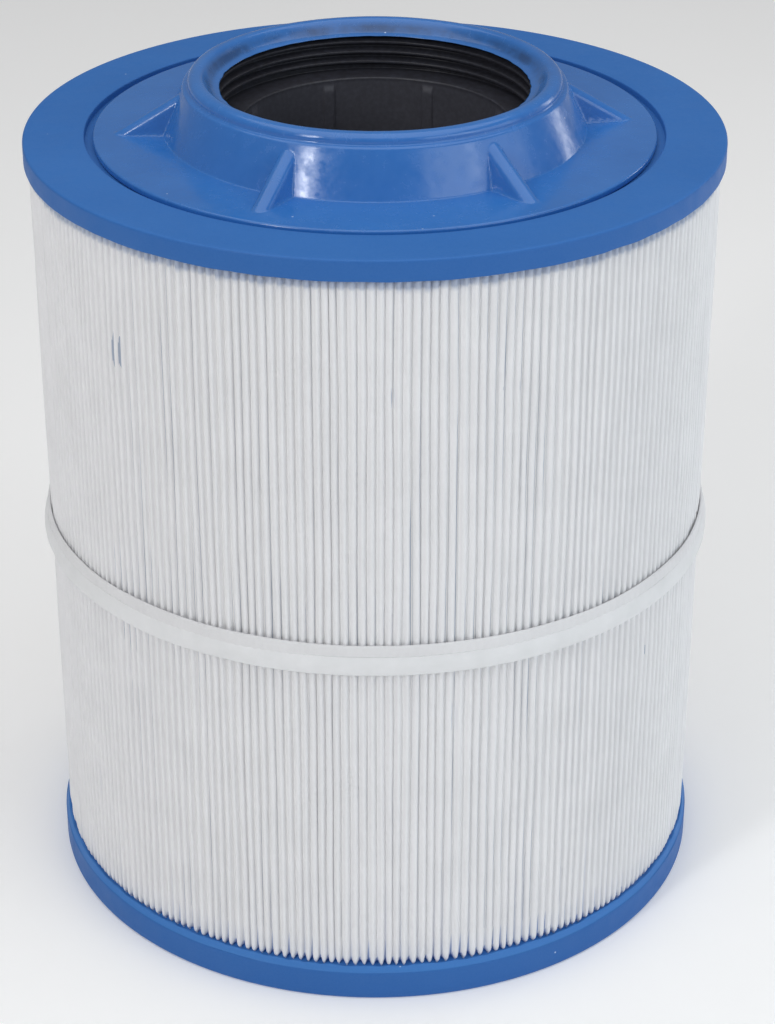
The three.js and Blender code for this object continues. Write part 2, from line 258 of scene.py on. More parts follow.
def pleat_rows(path, offset, tips, z):
    """Places the fold path at each height z, with each pleat's wander, its pinched lower end and
    its squeeze under the band. The offset moves each point, for the sheet's inner face."""
    azimuth, radius, share = path[:, 0] + offset[0], path[:, 1] + offset[1], path[:, 4]
    pleat, valley = path[:, 2].astype(int), path[:, 3].astype(int)
    side_reach, width_change, recess_reach = 0.26 * MM, 0.10, 0.30 * MM
    pinch_h, pinch_narrowing = 3.0 * MM, 0.6
    pinch_recess, pinch_hollow = 1.0 * MM, 1.8 * MM
    squeeze, squeeze_run = 0.2 * MM, 5 * MM
    side = wander(z, 21, (0.26, 0.13, 0.07), 3) * side_reach
    valley_side = (side + np.roll(side, -1, 0)) / 2
    width = wander(z, 22, (0.2, 0.09), 1) * width_change
    recess = np.abs(wander(z, 23, (0.3, 0.12), 2)) * recess_reach
    foot = 1 - np.clip((z - LOWER_RIM_Z + 0.3 * MM) / pinch_h, 0, 1)
    tip = 1 - np.sqrt(1 - foot ** 2)
    width = (1 + width) * (1 - pinch_narrowing * tip)
    recess = recess + pinch_recess * tip
    hollow = pinch_hollow * foot ** 1.5
    rise = smooth_step(BAND_LOW_Z - squeeze_run, BAND_LOW_Z, z)
    fall = smooth_step(BAND_TOP_Z + squeeze_run, BAND_TOP_Z, z)
    recess = recess + squeeze * rise * fall
    deep = np.clip((radius - MEDIA_BORE_R) / (MEDIA_R - MEDIA_BORE_R), 0, 1)
    rows = []
    for i, height in enumerate(z):
        across = (azimuth - tips[pleat]) * (1 + (width[pleat, i] - 1) * share)
        sideways = side[pleat, i] * share + valley_side[valley, i] * (1 - share)
        a = tips[pleat] + across + sideways * deep / radius
        r = radius - recess[pleat, i] * share - hollow[i] * (1 - share) * deep
        rows.append(np.stack([r * np.cos(a), r * np.sin(a), np.full(len(a), height)], -1))
    return rows


def sheet_offset(path):
    """Change of azimuth and radius from the sheet's outer face to its inner one."""
    flat = np.stack([path[:, 1] * np.cos(path[:, 0]), path[:, 1] * np.sin(path[:, 0])], -1)
    along = np.roll(flat, -1, 0) - np.roll(flat, 1, 0)
    along /= np.linalg.norm(along, axis=1)[:, None]
    inner = flat - np.stack([along[:, 1], -along[:, 0]], -1) * SHEET_T
    turn = np.arctan2(inner[:, 1], inner[:, 0]) - path[:, 0]
    return (turn + math.pi) % TAU - math.pi, np.linalg.norm(inner, axis=1) - path[:, 1]


def make_pleats():
    tips, half_widths = pleat_layout()
    path = fold_path(tips, half_widths)
    outer_face = (0.0, 0.0)
    foot_z = LOWER_RIM_Z + np.array([-2.0, -0.3, 0.3, 0.9, 1.7, 2.9]) * MM
    rise_z = np.linspace(foot_z[-1] + 7 * MM, CAP_UNDER_Z - 9 * MM, 9)
    brow_z = CAP_UNDER_Z - np.array([4.4, 3.4, 2.5, 1.3]) * MM
    outer_z = np.r_[MEDIA_LOW_Z, foot_z, rise_z, brow_z, MEDIA_TOP_Z]
    inner_z = np.r_[MEDIA_TOP_Z, rise_z[::-2], MEDIA_LOW_Z]
    outer = pleat_rows(path, outer_face, tips, outer_z)
    inner = pleat_rows(path, sheet_offset(path), tips, inner_z)
    piece = loop_surface("pleats", np.array(outer + inner))
    stain_and_shade_pleats(piece, path, outer_z, len(inner_z))
    return dress(piece, MEDIA, "filter_media", *PACKS)


def stain_and_shade_pleats(piece, path, outer_z, inner_rows):
    """Marks three values on the mesh: how far blue resin has soaked up the folds from the lower
    cap, mostly along the valleys, together with a painted blue reflection of the cap all round
    just above it; a painted shadow under the upper cap, reaching further down in the valleys;
    and how deep between the folds a point lies. The sheet's inner face is unstained and carries
    the painted shadow all over."""
    rng = np.random.default_rng(71)
    climb = rng.gamma(1.8, 2.2, PLEATS) * MM
    wedge = rng.uniform(1.0, 4.2, PLEATS) * MM
    valley = path[:, 3].astype(int)
    inward = 1 - path[:, 4]
    reach = rng.uniform(2.5, 3.4, PLEATS) * MM
    soft_edge = 0.8 * MM
    stain_and_bounce_rows = []
    under_cap_shade = []
    for height in np.r_[outer_z, np.full(inner_rows, FACE_Z)]:
        above = max(height - LOWER_RIM_Z, 0)
        # The blue haze up the valleys is partly resin and partly a painted reflection of the blue cap.
        haze = 0.60 * inward * np.exp(-above / (climb[valley] + 0.8 * MM))
        solid = 0.95 * np.clip((wedge[valley] * inward - above) / (0.3 * MM), 0, 1)
        # Painted reflection: a faint blue all round just above the lower cap.
        painted_cap_bounce = 0.22 * math.exp(-above / (1.5 * MM))
        stain_and_bounce_rows.append(np.maximum(np.maximum(haze, solid), painted_cap_bounce))
        # Painted shadow: a bluish grey band under the upper cap, reaching further down in the valleys.
        below = max(CAP_UNDER_Z - height, 0)
        edge = smooth_step(reach[valley] + soft_edge, reach[valley] - soft_edge, below)
        valley_shade = 0.6 * inward * math.exp(-below / (2.5 * MM))
        under_cap_shade.append(np.maximum(0.9 * edge, valley_shade))
    depths = np.tile(inward, len(stain_and_bounce_rows))
    marks = {"resin_stain_and_bounce": np.array(stain_and_bounce_rows), "cap_shadow_paint": np.array(under_cap_shade), "fold_depth": depths}
    for name, values in marks.items():
        mark = piece.data.attributes.new(name, "FLOAT", "POINT")
        mark.data.foreach_set("value", values.astype(np.float32).ravel())


# ---------------------------------------------------------------- end caps


def valley_noise(azimuths, seed, low, high):
    """A value for each valley between pleats, joined up round the circle."""
    rng = np.random.default_rng(seed)
    values = rng.uniform(low, high, PLEATS)
    knots = np.arange(PLEATS + 1) * TAU / PLEATS
    return np.interp(azimuths % TAU, knots, np.r_[values, values[0]])


def merge_axis(piece):
    """Joins the points that fall together on the axis."""
    work = bmesh.new()
    work.from_mesh(piece.data)
    bmesh.ops.remove_doubles(work, verts=work.verts, dist=1e-7)
    work.to_mesh(piece.data)
    work.free()


def make_bottom_cap():
    """Closed cap: recessed underside, side, bevel, rim, and the resin wicked up inside the folds."""
    rim = LOWER_RIM_Z
    r = CAP_R
    recess_h = 1.2 * MM
    profile = [(0, recess_h), (15 * MM, recess_h), (28 * MM, recess_h)]
    profile += arc(29.2 * MM, 0.6 * MM, 0.6 * MM, 90, 20, 4)
    profile += arc(30.9 * MM, 0.6 * MM, 0.6 * MM, 200, 270, 4)
    profile += [(45 * MM, 0), (70 * MM, 0), (90 * MM, 0), (r - 4 * MM, 0)]
    profile += arc(r - 1 * MM, 1 * MM, 1 * MM, -90, 0, 6)
    side_top = rim - BEVEL_H
    profile += [(r, z * MM) for z in (2.5, 4.5, 6.5, 8.5)]
    profile += arc(r - 0.45 * MM, side_top - 0.35 * MM, 0.45 * MM, 0, 62, 4)
    bevel_start = len(profile) - 1
    foot_r, foot_z = profile[-1]
    top_r = MEDIA_R + 0.35 * MM
    for t in (0.3, 0.6, 0.85):
        profile.append((foot_r * (1 - t) + top_r * t, foot_z * (1 - t) + rim * t))
    profile.append((top_r, rim))
    rim_start = len(profile)
    profile += [(MEDIA_R - 0.1 * MM, rim + 0.02 * MM), (MEDIA_R - 0.7 * MM, rim - 0.35 * MM)]
    profile += [(MEDIA_R - 1.6 * MM, rim - 0.5 * MM)]
    wick_start = len(profile)
    wick = [(2.4, 0.3), (3.1, 1.8), (3.6, 4.0), (4.0, 7.0), (4.3, 11.0), (4.6, 15.0)]
    wick += [(5.2, 15.0), (5.8, 5.0)]
    profile += [(MEDIA_R - inward * MM, rim + up * MM) for inward, up in wick]
    wick_end = len(profile)
    pool_z = rim - 2 * MM
    profile += [(MEDIA_R - 7 * MM, pool_z), (60 * MM, pool_z), (0, pool_z)]

    def shape(i, radius, height, azimuths):
        if bevel_start <= i < rim_start:
            height = height + 0.10 * MM * ring_noise(azimuths, 32, 40)
        elif rim_start <= i < wick_start:
            height = height + valley_noise(azimuths, 33, -0.35, 0.25) * MM
        elif wick_start <= i < wick_end:
            height = rim + (height - rim) * valley_noise(azimuths, 31, 0.15, 1.25)
        return radius, height

    piece = revolve("bottom_cap_cast", profile, 4 * PLEATS, shape)
    merge_axis(piece)
    return dress(piece, CAP_BLUE, "cap_polyurethane", "bottom_end_cap")


def make_top_cap():
    """Ring with a recess for the collar's disc, resin wicked down inside the folds, and a thin
    uneven flash along its lower edge."""
    r = CAP_R
    under = CAP_UNDER_Z
    hole_r = CORE_R + GAP
    recess_z = PLATE_UNDER_Z - GAP
    recess_r = PLATE_R + 2.6 * MM
    web_z = recess_z - 1.4 * MM
    profile = [(hole_r, web_z), (70 * MM, web_z), (98 * MM, web_z)]
    wick_start = len(profile)
    wick = [(6.5, -1.0), (5.8, -3.5), (5.2, -7.0), (4.6, -7.0), (4.0, -4.0), (3.2, -1.6)]
    wick += [(2.2, -0.3)]
    profile += [(MEDIA_R - inward * MM, under + up * MM) for inward, up in wick]
    wick_end = len(profile)
    profile += [(MEDIA_R - 0.6 * MM, under + 0.25 * MM)]
    flash_start = len(profile)
    profile += [(MEDIA_R + 0.3 * MM, under + 0.05 * MM), (r - 0.45 * MM, under - 0.05 * MM)]
    profile += arc(r - 0.3 * MM, under + 0.3 * MM, 0.3 * MM, -70, 0, 4)
    flash_end = len(profile)
    profile += [(r, under + z * MM) for z in (1.2, 2.6, 4.0)]
    profile += arc(r - 0.9 * MM, FACE_Z - 0.9 * MM, 0.9 * MM, 0, 90, 7)
    profile += [(x * MM, FACE_Z) for x in (105.5, 103, 100, 97, 94, 92)]
    profile += arc(recess_r + 0.45 * MM, FACE_Z - 0.45 * MM, 0.45 * MM, 90, 180, 5)
    profile += [(recess_r, FACE_Z - 1.2 * MM)]
    profile += arc(recess_r - 0.3 * MM, recess_z + 0.3 * MM, 0.3 * MM, 0, -90, 4)
    profile += [(recess_r - 1.2 * MM, recess_z), (PLATE_R - 1 * MM, recess_z), (70 * MM, recess_z)]
    profile += [(hole_r, recess_z)]

    def shape(i, radius, height, azimuths):
        if wick_start <= i < wick_end:
            height = under + (height - under) * valley_noise(azimuths, 41, 0.2, 1.3)
        elif flash_start <= i < flash_end:
            drips = valley_noise(azimuths, 43, 0, 1) ** 3
            height = height + 0.10 * MM * ring_noise(azimuths, 42, 60, 5) - 0.1 * MM * drips
        return radius, height

    piece = revolve("top_cap_cast", profile, 4 * PLEATS, shape)
    return dress(piece, CAP_BLUE, "cap_polyurethane", "top_end_cap")


# ---------------------------------------------------------------- collar


def gusset_columns(r):
    """Azimuths of the collar's columns at one radius. Beside each gusset they run parallel to it."""
    far_side = [8.8, 7.4, 6.4, 5.6, 5.0, 4.5, 4.1, 3.75, 3.45, 3.2]
    ridge_side = [3.0, 2.85, 2.7, 2.5, 2.2, 1.75, 1.2, 0.6]
    beside = np.array(far_side + ridge_side) * MM
    offsets = np.r_[-beside, 0, beside[::-1]]
    step = TAU / GUSSETS
    columns = []
    for g in range(GUSSETS):
        centre = GUSSET_AZ + g * step
        zone = centre + np.arcsin(offsets / r)
        following = centre + step + np.arcsin(offsets[0] / r)
        between = np.linspace(zone[-1], following, 26)[1:-1]
        columns += [zone, between]
    return np.concatenate(columns)


def collar_height(r, azimuths):
    """Height of the collar's top side: disc, cone and gussets, with fillets where they meet."""
    cone = FACE_Z + (NECK_BASE_R - r) * NECK_H / (NECK_BASE_R - NECK_TOP_R)
    disc = np.full_like(azimuths, FACE_Z)
    base = smooth_max(disc, np.full_like(azimuths, cone), 0.6 * MM)
    slope = GUSSET_H / (GUSSET_TIP_R - NECK_TOP_R)
    ridge_half = 2.9 * MM
    round_edge = 0.95 * ridge_half
    draft = 0.18
    beside = 9 * MM
    least = 1e-6
    height = base
    for g in range(GUSSETS):
        turn = azimuths - (GUSSET_AZ + g * TAU / GUSSETS)
        across = np.abs(r * np.sin(turn))
        crest = FACE_Z + slope * (GUSSET_TIP_R - r * np.cos(turn)) - base
        crest = np.where((np.cos(turn) > 0) & (across < beside), np.maximum(crest, least), least)
        fall = ridge_half - np.sqrt(ridge_half ** 2 - np.minimum(across, round_edge) ** 2)
        wall = crest - fall - np.maximum(across - round_edge, 0) / draft
        raised = base + smooth_max(wall, np.zeros_like(wall), 0.03 * MM)
        height = np.where(crest > 2 * least, np.maximum(height, raised), height)
    return height


def make_collar():
    """Disc with a conical neck, gussets and a rolled lip. A row without a height follows the
    collar's top side."""
    bore_r = SLEEVE_R + GAP
    under = PLATE_UNDER_Z
    mouth_z = SLEEVE_TOP_Z + GAP
    rows = [(bore_r, under), (65 * MM, under), (78 * MM, under)]
    rows += arc(PLATE_R - 0.3 * MM, under + 0.3 * MM, 0.3 * MM, -90, 0, 4)
    rows += [(PLATE_R, FACE_Z - 1 * MM)]
    rows += arc(PLATE_R - 0.7 * MM, FACE_Z - 0.7 * MM, 0.7 * MM, 0, 90, 7)
    disc_rows = np.r_[np.linspace(85.3, 81.5, 4), np.linspace(81, 66.5, 30)]
    cone_rows = np.linspace(66.2, 58.85, 40)
    rows += [(r * MM, None) for r in np.r_[disc_rows, cone_rows]]
    lip = [(58.65, 13.95), (58.3, 14.15), (57.75, 14.25), (57.4, 14.4), (57.25, 14.75)]
    lip += [(57.3, 15.2), (57.2, 15.8), (56.9, 16.4), (56.4, 16.9), (55.7, 17.3), (54.9, 17.47)]
    lip += [(54.1, 17.5), (53.4, 17.4), (52.8, 17.1), (52.45, 16.7), (52.1, 16.2), (51.6, 15.5)]
    lip += [(51.0, 14.75), (50.4, 14.15), (49.9, 13.8), (49.3, 13.6), (48.6, 13.5), (47.9, 13.42)]
    lip += [(47.55, 13.3)]
    rows += [(r * MM, FACE_Z + z * MM) for r, z in lip]
    mouth_start = len(rows) - 2
    rows += [(MOUTH_R - 0.45 * MM, mouth_z - 0.55 * MM), (MOUTH_R - 0.2 * MM, mouth_z - 0.75 * MM)]
    mouth_end = len(rows)
    rows += [(MOUTH_R + 1 * MM, mouth_z), (bore_r, mouth_z)]
    points = []
    for i, (r, z) in enumerate(rows):
        azimuths = gusset_columns(r)
        height = collar_height(r, azimuths) if z is None else np.full_like(azimuths, z)
        radius = np.full_like(azimuths, r)
        if mouth_start <= i < mouth_end:
            radius = radius + 0.10 * MM * ring_noise(azimuths, 51, 60, 3)
        if z is None or z > FACE_Z:
            height = height + 0.05 * MM * ring_noise(azimuths, 52, 7, 2)
        points.append(np.stack([radius * np.cos(azimuths), radius * np.sin(azimuths), height], -1))
    piece = loop_surface("collar_moulding", np.array(points))
    return dress(piece, COLLAR_BLUE, "collar_plastic", "collar_plate")


# ---------------------------------------------------------------- threaded sleeve


def rib_columns():
    """Azimuths with close columns beside each rib of the bore."""
    beside = np.array([2.6, 2.3, 2.1, 1.95, 1.8, 1.6, 1.3, 0.8]) * MM / CORE_BORE_R
    offsets = np.r_[-beside, 0, beside[::-1]]
    step = TAU / RIBS
    columns = []
    for i in range(RIBS):
        zone = RIB_AZ + i * step + offsets
        columns += [zone, np.linspace(zone[-1], zone[0] + step, 22)[1:-1]]
    return np.concatenate(columns)


def thread_radius(z, azimuths, low, high):
    """Bore radius of the threaded socket: a rounded ridge that climbs to the right."""
    depth = THREAD_MAJOR_R - MOUTH_R
    base_half = 1.35 * MM
    crest_half = 0.32 * MM
    start_z = low + base_half
    turns = (high - base_half - start_z) / THREAD_PITCH
    around = ((azimuths - THREAD_AZ) % TAU) / TAU
    phase = (z - start_z) / THREAD_PITCH - around
    nearest = np.clip(np.round(phase), 0, math.floor(turns))
    travelled = nearest + around
    fade_turns = 0.1
    fade = np.clip(np.minimum(travelled, turns - travelled) / fade_turns, 0, 1)
    off_centre = np.abs(phase - nearest) * THREAD_PITCH
    flank = np.clip((base_half - off_centre) / (base_half - crest_half), 0, 1)
    rounded = flank * flank * (3 - 2 * flank) * 0.35 + flank * 0.65
    return THREAD_MAJOR_R - depth * rounded * fade


def make_sleeve():
    """Threaded socket, shoulder and ribbed skirt. Each row is a radius, or the name of its
    formula, with a height."""
    azimuths = rib_columns()
    top = SLEEVE_TOP_Z
    foot = SLEEVE_FOOT_Z
    bore = CORE_BORE_R
    rows = [(bore, foot), (CORE_R - 0.2 * MM, foot), (CORE_R, foot + 0.2 * MM)]
    rows += [(CORE_R, PLATE_UNDER_Z), (SLEEVE_R, PLATE_UNDER_Z), (SLEEVE_R, top), (THREAD_MAJOR_R, top)]
    thread_z = np.linspace(top - 0.1 * MM, SHOULDER_Z + 0.35 * MM, 72)
    rows += [("thread", z) for z in thread_z]
    rows += arc(THREAD_MAJOR_R - 0.3 * MM, SHOULDER_Z + 0.3 * MM, 0.3 * MM, 0, -90, 4)
    rows += [(48 * MM, SHOULDER_Z), (45 * MM, SHOULDER_Z)]
    rows += arc(bore + 0.5 * MM, SHOULDER_Z - 0.5 * MM, 0.5 * MM, 90, 180, 5)
    skirt_z = np.r_[np.linspace(SHOULDER_Z - 0.6 * MM, SHOULDER_Z - 5.6 * MM, 16),
                    np.linspace(SHOULDER_Z - 6.5 * MM, foot + 0.3 * MM, 12)]
    rows += [("skirt", z) for z in skirt_z]
    rib_h = 0.6 * MM
    rib_step = TAU / RIBS
    rib_turn = (azimuths - RIB_AZ + rib_step / 2) % rib_step - rib_step / 2
    rib_side = smooth_step(2.15 * MM, 1.55 * MM, np.abs(rib_turn) * bore)
    points = []
    for kind, z in rows:
        if kind == "thread":
            radius = thread_radius(z, azimuths, SHOULDER_Z, top)
        elif kind == "skirt":
            rib_top = smooth_step(SHOULDER_Z - 1.2 * MM, SHOULDER_Z - 4.2 * MM, z)
            radius = bore - rib_h * rib_side * rib_top
        else:
            radius = np.full_like(azimuths, kind)
        points.append(np.stack([radius * np.cos(azimuths), radius * np.sin(azimuths),
                                np.full_like(azimuths, z)], -1))
    piece = loop_surface("sleeve_moulding", np.array(points))
    return dress(piece, SLEEVE_BLACK, "sleeve_plastic", "threaded_sleeve")


# ---------------------------------------------------------------- band round the middle


def make_band():
    """Flat tape round the pleats, and the bead of glue that swells over its lower half."""
    low, high = BAND_LOW_Z, BAND_TOP_Z
    middle = low + 5.6 * MM
    inner = MEDIA_R - 0.1 * MM
    tape = [(inner, low + 0.6 * MM), (MEDIA_R + 0.5 * MM, low), (MEDIA_R + 1.0 * MM, low + 0.4 * MM)]
    tape += [(MEDIA_R + 1.05 * MM, low + z * MM) for z in (1.5, 3.0, 4.5, 5.6)]
    tape += [(MEDIA_R + 0.98 * MM, low + 6.8 * MM), (MEDIA_R + 0.88 * MM, low + 8.0 * MM)]
    tape += [(MEDIA_R + 0.72 * MM, low + 9.0 * MM), (MEDIA_R + 0.45 * MM, high - 0.1 * MM)]
    tape += [(MEDIA_R + 0.1 * MM, high), (inner, high - 0.5 * MM)]
    bead_out = BEAD_R - MEDIA_R
    bead_foot = [(0.75, 0.9), (0.95, 0.2), (1.35, 0.0), (1.85, 0.35)]
    swelling = [(0.97, 1.1), (1.0, 1.9), (0.985, 2.8), (0.92, 3.7), (0.80, 4.5), (0.66, 5.2)]
    swelling += [(0.52, 5.8)]
    bead = [(MEDIA_R + r * MM, low + z * MM) for r, z in bead_foot]
    bead += [(MEDIA_R + bead_out * part, low + z * MM) for part, z in swelling]
    bead += [(MEDIA_R + 0.95 * MM, middle + 0.6 * MM), (MEDIA_R + 0.75 * MM, middle)]
    lower_edge, upper_edge = 62, 63  # seeds: the tape and the bead share their lower edge's waves

    def tape_shape(i, radius, height, azimuths):
        ripple = 0.05 * MM * np.cos(PLEATS * azimuths + 2 * np.sin(5 * azimuths))
        radius = radius + 0.07 * MM * ring_noise(azimuths, 61, 24, 2) + ripple
        seed = lower_edge if i < len(tape) // 2 else upper_edge
        return radius, height + 0.12 * MM * ring_noise(azimuths, seed, 18, 2)

    def bead_shape(i, radius, height, azimuths):
        swell = 1 + 0.10 * ring_noise(azimuths, 65, 30, 3)
        core = MEDIA_R + 0.9 * MM
        radius = np.where(radius > core, core + (radius - core) * np.minimum(swell, 1.0), radius)
        return radius, height + 0.10 * MM * ring_noise(azimuths, lower_edge, 18, 2)

    columns = 5 * PLEATS
    band = revolve("band_tape", tape, columns, tape_shape)
    dress(band, BAND_WHITE, "band_fabric", "center_band")
    glue = revolve("band_glue", bead, columns, bead_shape)
    dress(glue, GLUE_WHITE, "hot_melt", "band_bead")


# ---------------------------------------------------------------- materials


class Shader:
    """A material's node tree, with short calls for the nodes that these materials use."""

    def __init__(self, name):
        self.material = bpy.data.materials.new(name)
        self.material.use_nodes = True
        self.tree = self.material.node_tree
        self.bsdf = self.tree.nodes["Principled BSDF"]
        self.coords = self.tree.nodes.new("ShaderNodeTexCoord").outputs["Object"]

    def node(self, kind, **settings):
        made = self.tree.nodes.new("ShaderNode" + kind)
        for key, value in settings.items():
            setattr(made, key, value)
        return made

    def link(self, source, target):
        self.tree.links.new(source, target)

    def noise(self, scale, detail=3.0, roughness=0.55, distortion=0.0):
        made = self.node("TexNoise")
        made.inputs["Scale"].default_value = scale
        made.inputs["Detail"].default_value = detail
        made.inputs["Roughness"].default_value = roughness
        made.inputs["Distortion"].default_value = distortion
        self.link(self.coords, made.inputs["Vector"])
        return made.outputs["Fac"]

    def remap(self, value, low, high, to_low, to_high):
        made = self.node("MapRange", clamp=True)
        made.inputs["From Min"].default_value = low
        made.inputs["From Max"].default_value = high
        made.inputs["To Min"].default_value = to_low
        made.inputs["To Max"].default_value = to_high
        self.link(value, made.inputs["Value"])
        return made.outputs["Result"]

    def blend(self, factor, first, second):
        """Mixes two colours, each a tuple or a socket, by a socket that runs from 0 to 1."""
        made = self.node("Mix", data_type="RGBA", blend_type="MIX")
        self.link(factor, made.inputs[0])
        for socket, value in ((made.inputs[6], first), (made.inputs[7], second)):
            if isinstance(value, tuple):
                socket.default_value = (*value, 1.0)
            else:
                self.link(value, socket)
        return made.outputs[2]

    def bump(self, value, distance, strength, onto=None):
        made = self.node("Bump")
        made.inputs["Distance"].default_value = distance
        made.inputs["Strength"].default_value = strength
        self.link(value, made.inputs["Height"])
        if onto is not None:
            self.link(onto, made.inputs["Normal"])
        return made.outputs["Normal"]

    def specks(self, scale, share, size):
        """Small round dots: 1 inside a dot, 0 elsewhere. Only a share of the cells holds one."""
        cells = self.node("TexVoronoi", feature="F1")
        cells.inputs["Scale"].default_value = scale
        self.link(self.coords, cells.inputs["Vector"])
        near = self.remap(cells.outputs["Distance"], size, size * 0.6, 0.0, 1.0)
        split = self.node("SeparateColor")
        self.link(cells.outputs["Color"], split.inputs["Color"])
        chosen = self.remap(split.outputs["Red"], 1 - share, 1 - share + 0.001, 0.0, 1.0)
        return self.product(near, chosen)

    def product(self, first, second):
        made = self.node("Math", operation="MULTIPLY")
        self.link(first, made.inputs[0])
        self.link(second, made.inputs[1])
        return made.outputs["Value"]

    def height(self):
        """Height above the floor."""
        split = self.node("SeparateXYZ")
        self.link(self.coords, split.inputs["Vector"])
        return split.outputs["Z"]

    def axis_distance(self):
        """Distance from the cartridge's axis."""
        level = self.node("VectorMath", operation="MULTIPLY")
        level.inputs[1].default_value = (1.0, 1.0, 0.0)
        self.link(self.coords, level.inputs[0])
        length = self.node("VectorMath", operation="LENGTH")
        self.link(level.outputs["Vector"], length.inputs[0])
        return length.outputs["Value"]

    def mark(self, name):
        """A value stored on the mesh."""
        made = self.node("Attribute", attribute_name=name)
        return made.outputs["Fac"]

    def set(self, **values):
        """Sets or links the shader's own sockets, and returns the finished material."""
        for key, value in values.items():
            socket = self.bsdf.inputs[key.replace("_", " ")]
            if hasattr(value, "is_linked"):
                self.link(value, socket)
            elif socket.type == "RGBA":
                socket.default_value = (*value, 1.0)
            else:
                socket.default_value = value
        return self.material


def cap_blue():
    """Cast polyurethane: even blue with a fine grain, faint cloudiness and a few pale specks. The
    outer side is painted darker as painted shade, and the lower cap's upward-facing bevel is
    painted lighter as painted light."""
    s = Shader("cap_blue")
    deep, bright = (0.028, 0.150, 0.470), (0.036, 0.168, 0.505)
    grain_tone, speck_tone = (0.060, 0.200, 0.520), (0.45, 0.58, 0.80)
    painted_side_shade, painted_bevel_light = (0.018, 0.095, 0.330), (0.085, 0.270, 0.660)
    cloud = s.remap(s.noise(22.0, 4.0), 0.3, 0.7, 0.0, 1.0)
    grain = s.noise(1700.0, 2.0)
    colour = s.blend(cloud, deep, bright)
    colour = s.blend(s.remap(grain, 0.3, 0.7, 0.0, 0.3), colour, grain_tone)
    # Painted shade: the outer side is painted darker, where less light falls on it.
    side = s.remap(s.axis_distance(), CAP_R - 0.35 * MM, CAP_R - 0.1 * MM, 0.0, 0.35)
    colour = s.blend(side, colour, painted_side_shade)
    # Painted light: the lower cap's upward-facing bevel is painted lighter.
    bevel_z = LOWER_RIM_Z - BEVEL_H
    above_side = s.remap(s.height(), bevel_z - 0.1 * MM, bevel_z + 0.1 * MM, 0.0, 0.35)
    below_face = s.remap(s.height(), LOWER_RIM_Z + 0.3 * MM, LOWER_RIM_Z + 0.6 * MM, 1.0, 0.0)
    colour = s.blend(s.product(above_side, below_face), colour, painted_bevel_light)
    colour = s.blend(s.specks(260.0, 0.03, 0.10), colour, speck_tone)
    rough = s.remap(s.noise(140.0, 3.0), 0.3, 0.7, 0.46, 0.60)
    normal = s.bump(s.noise(60.0, 3.0), 0.0004, 0.2)
    normal = s.bump(grain, 0.00006, 0.45, normal)
    return s.set(Base_Color=colour, Roughness=rough, Normal=normal, Specular_IOR_Level=0.25)


def collar_blue():
    """Moulded collar: glossier blue with mottled flow marks, fine specks, and a patchy darker
    band inside the lip."""
    s = Shader("collar_blue")
    deep, bright = (0.028, 0.155, 0.485), (0.038, 0.185, 0.550)
    mottle_tone, speck_tone = (0.065, 0.225, 0.600), (0.50, 0.62, 0.85)
    lip_dark_tone = (0.013, 0.040, 0.110)
    cloud = s.remap(s.noise(35.0, 4.0), 0.3, 0.7, 0.0, 1.0)
    mottle = s.noise(260.0, 5.0, 0.62)
    colour = s.blend(cloud, deep, bright)
    colour = s.blend(s.remap(mottle, 0.35, 0.75, 0.0, 0.18), colour, mottle_tone)
    # A patchy darker band inside the lip, fading off towards the mouth.
    inside_lip = s.remap(s.axis_distance(), 52.4 * MM, 51.4 * MM, 0.0, 1.0)
    off_mouth = s.remap(s.axis_distance(), 48.9 * MM, 50.3 * MM, 0.15, 1.0)
    lip_patches = s.remap(s.noise(55.0, 5.0, 0.65), 0.35, 0.6, 0.15, 0.7)
    lip_darkening = s.product(s.product(inside_lip, off_mouth), lip_patches)
    colour = s.blend(lip_darkening, colour, lip_dark_tone)
    colour = s.blend(s.specks(300.0, 0.04, 0.12), colour, speck_tone)
    rough = s.remap(mottle, 0.35, 0.65, 0.11, 0.30)
    normal = s.bump(s.noise(90.0, 3.0), 0.0005, 0.15)
    normal = s.bump(mottle, 0.00005, 0.25, normal)
    return s.set(Base_Color=colour, Roughness=rough, Normal=normal, Specular_IOR_Level=0.62)


def black_plastic(name, gloss, base, dusted):
    """Moulded black plastic with a light dusting and a soft, slightly uneven gloss. Below the
    sleeve's shoulder it is painted greyer, as painted fill light in the shaded bore."""
    s = Shader(name)
    painted_fill_base, painted_fill_dusted = (0.062, 0.062, 0.076), (0.088, 0.092, 0.114)
    dust = s.remap(s.noise(700.0, 4.0), 0.4, 0.75, 0.0, 0.6)
    colour = s.blend(dust, base, dusted)
    # Painted fill light: below the shoulder the shaded bore is painted greyer.
    deep = s.remap(s.height(), SHOULDER_Z, SHOULDER_Z - 1.5 * MM, 0.0, 1.0)
    colour = s.blend(deep, colour, s.blend(dust, painted_fill_base, painted_fill_dusted))
    rough = s.remap(s.noise(160.0, 3.0), 0.3, 0.7, gloss, gloss + 0.14)
    normal = s.bump(s.noise(900.0, 3.0), 0.00005, 0.4)
    return s.set(Base_Color=colour, Roughness=rough, Normal=normal, Specular_IOR_Level=0.35)


